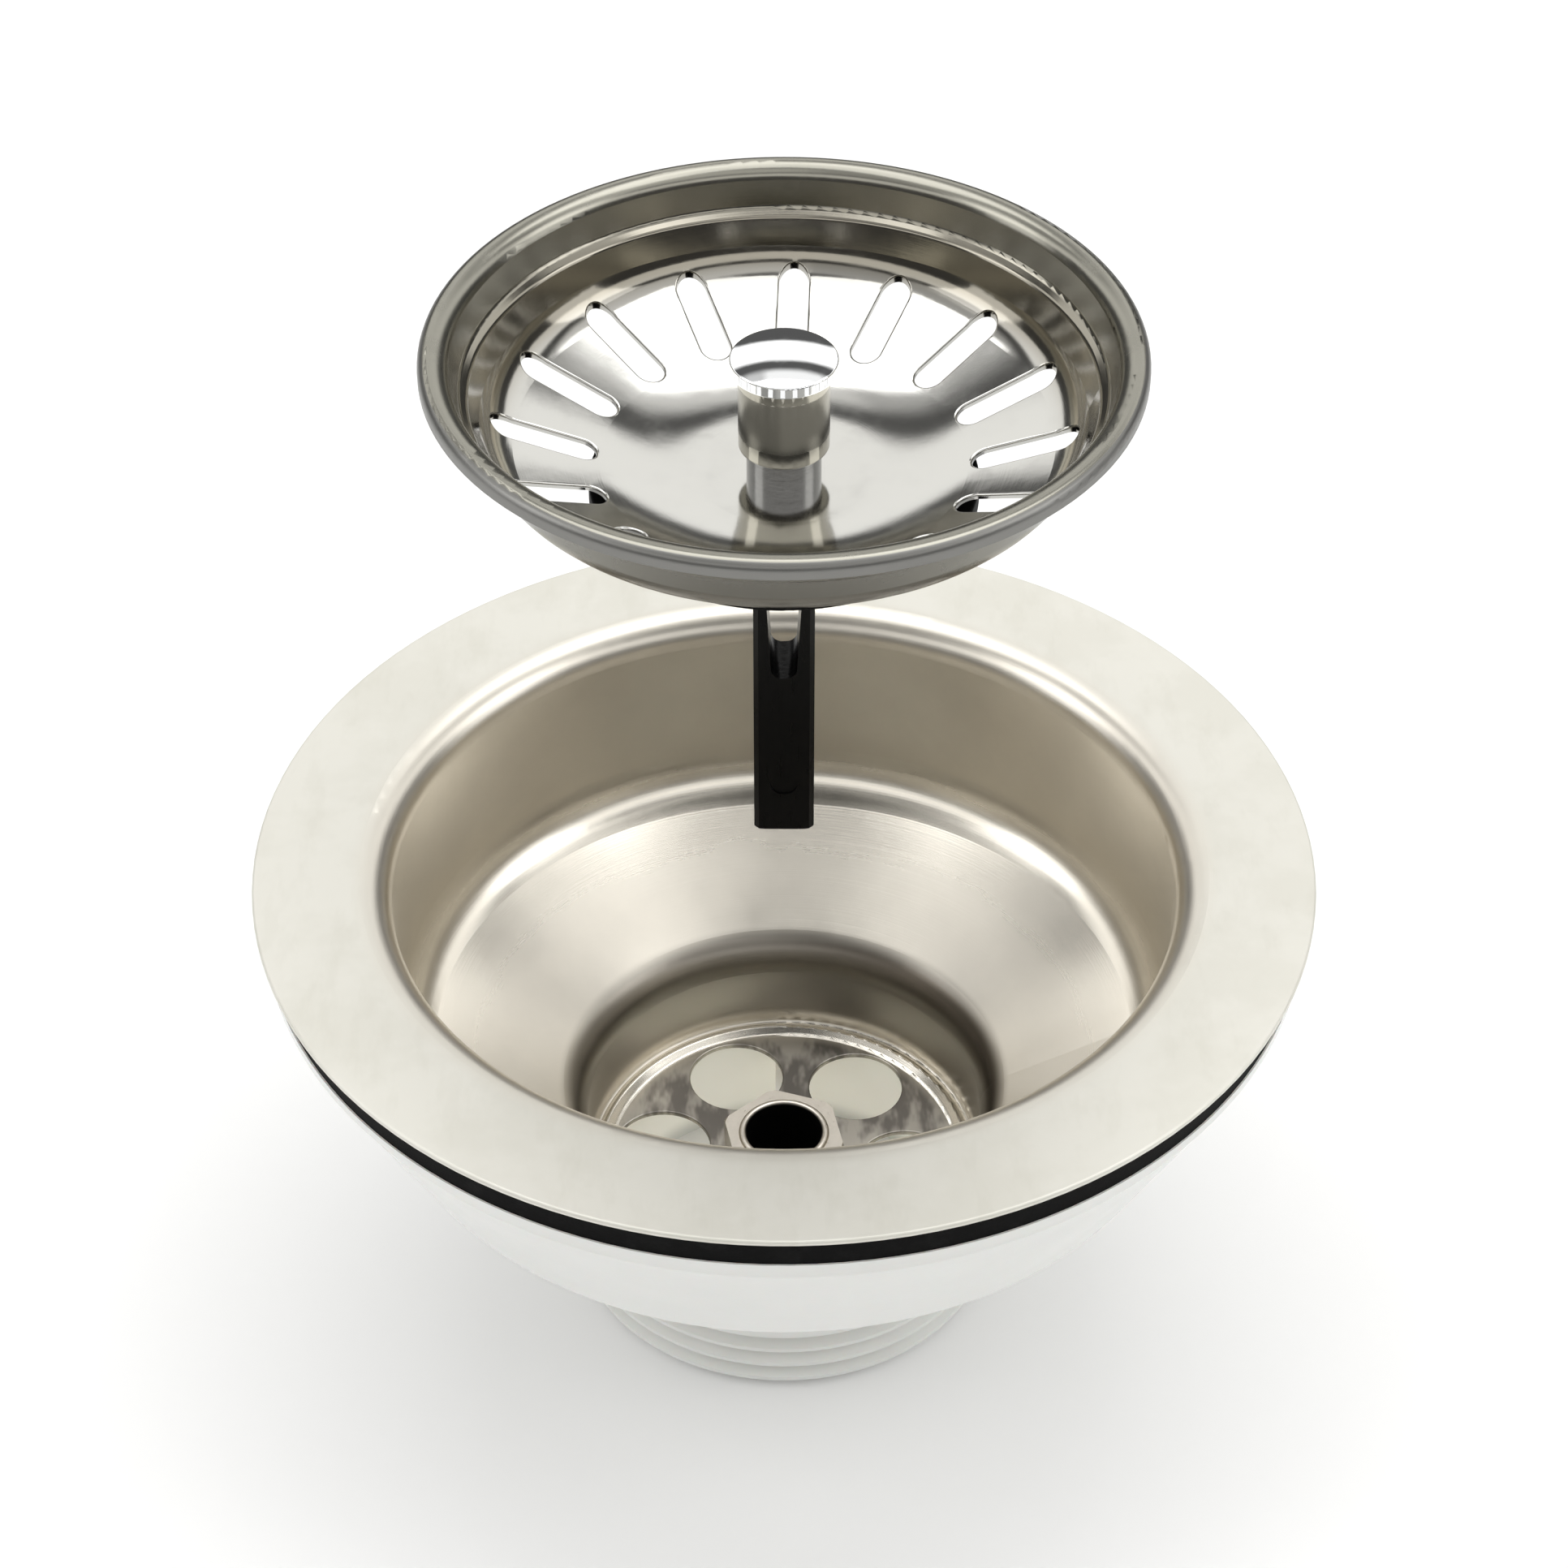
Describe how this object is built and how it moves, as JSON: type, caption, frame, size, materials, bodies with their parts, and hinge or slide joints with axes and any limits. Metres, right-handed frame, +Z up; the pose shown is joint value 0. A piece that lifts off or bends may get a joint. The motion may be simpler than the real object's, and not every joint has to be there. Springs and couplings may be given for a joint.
{
  "type": "basket strainer",
  "caption": "Kitchen-sink basket strainer: a slotted steel basket with a knob and stem lifts out of a flanged steel bowl held in a plastic cup with a threaded outlet.",
  "frame": {"origin": "centre of the outlet's lower end, which is the lowest point of the waste", "axes": "+Z up along the common axis of the waste and the basket; +Y is the back, away from the view the stem's window faces; +X to the right"},
  "size_m": [0.114, 0.114, 0.124],
  "materials": {
    "satin_steel": "satin stainless steel, spun",
    "polished_steel": "polished stainless steel",
    "chrome": "mirror chrome",
    "plain_steel": "bright drawn steel",
    "nickel_brass": "nickel-plated brass",
    "raw_brass": "machined brass",
    "black_rubber": "black rubber",
    "black_plastic": "moulded black plastic",
    "white_plastic": "moulded white plastic"
  },
  "bodies": {
    "waste": {"strainer_bowl": "satin_steel", "flange_gasket": "black_rubber", "rim_gasket": "black_rubber", "well_seal": "black_rubber", "waste_cup": "white_plastic", "clamp_bolt": "nickel_brass", "captive_nut": "raw_brass"},
    "lift": {"knob_screw": "plain_steel"},
    "basket": {"basket_dish": "polished_steel", "plug_seal": "black_rubber", "seal_washer": "plain_steel", "stem": "black_plastic", "knob_column": "chrome", "knob_sleeve": "satin_steel", "knob_cap": "chrome"}
  },
  "joints": [
    {"name": "basket_lift", "type": "slide", "parent": "waste", "child": "lift", "axis": [0, 0, 1], "range_m": [-0.086, 0.02]},
    {"name": "basket_turn", "type": "hinge", "parent": "lift", "child": "basket", "pos_m": [0, 0, 0.11], "axis": [0, 0, 1], "continuous": true}
  ]
}
